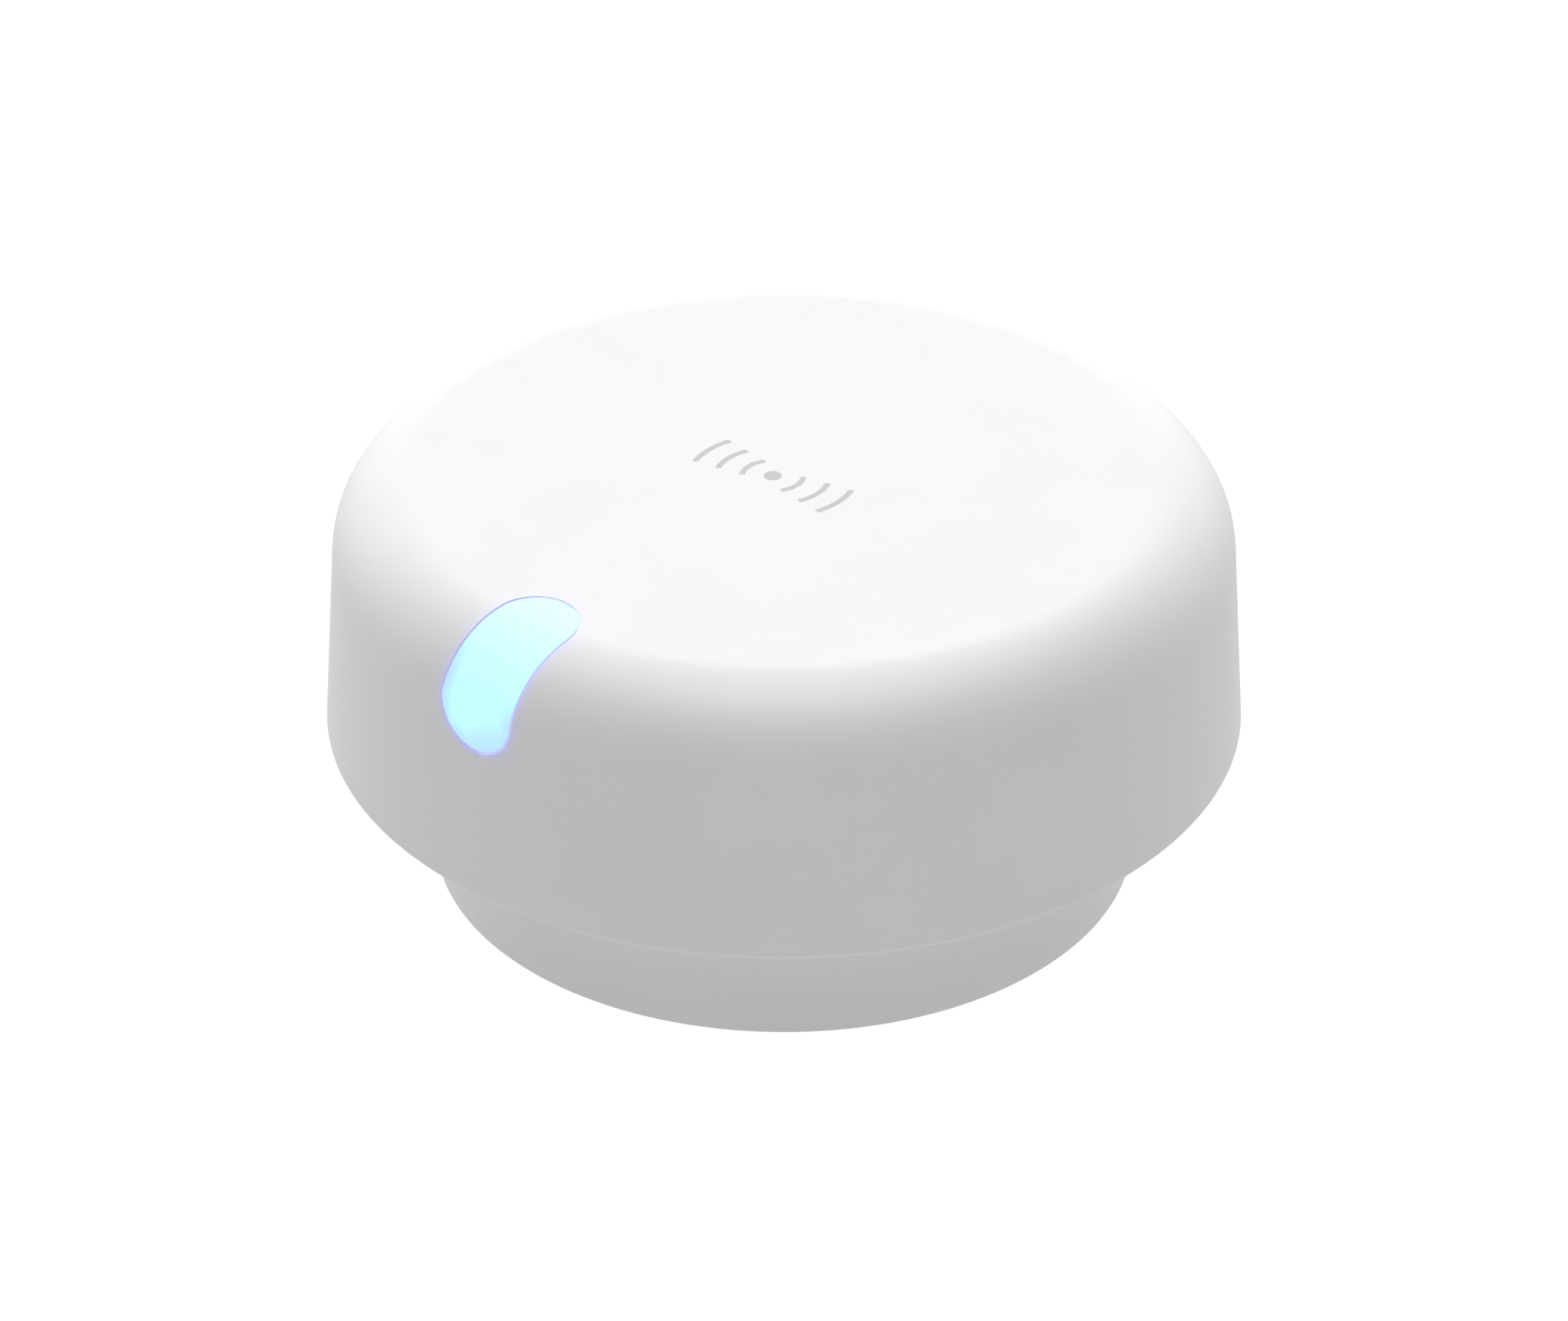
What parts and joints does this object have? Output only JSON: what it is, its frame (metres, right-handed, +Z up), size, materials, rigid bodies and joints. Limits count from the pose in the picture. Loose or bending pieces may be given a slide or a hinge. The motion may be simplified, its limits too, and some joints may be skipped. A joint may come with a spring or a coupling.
{
  "type": "presence sensor",
  "caption": "Round smart home presence sensor head with a lit button in its shoulder, turning on a hub that folds on a weighted round stand.",
  "frame": {"origin": "centre of the foot's underside, on the axis of the round head, where the device stands", "axes": "+Z up; -Y towards the lit button; +Y towards the stand's hinge; -X towards the mouth of the power socket"},
  "size_m": [0.064, 0.064, 0.0295],
  "materials": {
    "white_shell": "fine spark-eroded matte white",
    "lit_plastic": "frosted light guide, lit pale cyan",
    "inner_plastic": "plain moulded grey",
    "black_plastic": "moulded black",
    "foot_rubber": "matte rubber",
    "steel": "plated steel",
    "circuit_board": "solder mask over glass laminate",
    "copper": "gold-flashed copper",
    "component_body": "pale ceramic and moulded resin",
    "ribbon_film": "amber polyimide film"
  },
  "bodies": {
    "stand": {"base_shell": "white_shell", "base_cover": "inner_plastic", "weight_plate": "steel", "foot_pad": "foot_rubber", "base_screw_1": "steel", "base_screw_2": "steel", "base_screw_3": "steel", "hinge_pin": "steel"},
    "hub": {"hub_plate": "white_shell", "swivel_friction_ring": "inner_plastic", "retaining_ring": "steel"},
    "head": {"front_shell": "white_shell", "rear_shell": "white_shell", "wave_washer": "steel", "main_board": "circuit_board", "shield_can": "steel", "processor_chip": "black_plastic", "power_inductor": "black_plastic", "capacitor_1": "component_body", "capacitor_2": "component_body", "main_connector": "black_plastic", "button_connector": "black_plastic", "usb_socket_shell": "steel", "usb_socket_tongue": "black_plastic", "inner_frame": "inner_plastic", "radar_board": "circuit_board", "radar_chip": "black_plastic", "antenna_array": "copper", "radar_connector": "black_plastic", "radar_ribbon": "ribbon_film", "button_ribbon": "ribbon_film", "button_board": "circuit_board", "status_led_1": "component_body", "status_led_2": "component_body", "light_sensor": "black_plastic", "switch_body": "black_plastic", "light_baffle": "white_shell", "rear_screw_1": "steel", "rear_screw_2": "steel", "rear_screw_3": "steel", "rear_screw_4": "steel", "board_screw_1": "steel", "board_screw_2": "steel", "board_screw_3": "steel", "frame_screw_1": "steel", "frame_screw_2": "steel", "frame_screw_3": "steel", "radar_screw_1": "steel", "radar_screw_2": "steel"},
    "button": {"light_button": "lit_plastic", "switch_plunger": "white_shell"}
  },
  "joints": [
    {"name": "stand_tilt", "type": "hinge", "parent": "stand", "child": "hub", "pos_m": [0, 0.023, 0.009], "axis": [-1, 0, 0], "range_deg": [0, 90]},
    {"name": "head_swivel", "type": "hinge", "parent": "hub", "child": "head", "pos_m": [0, 0, 0], "axis": [0, 0, 1], "continuous": true},
    {"name": "button_press", "type": "slide", "parent": "head", "child": "button", "axis": [0, 0.7071, -0.7071], "range_m": [0, 0.0004], "stiffness_N_per_m": 400, "springref_m": -0.001}
  ]
}
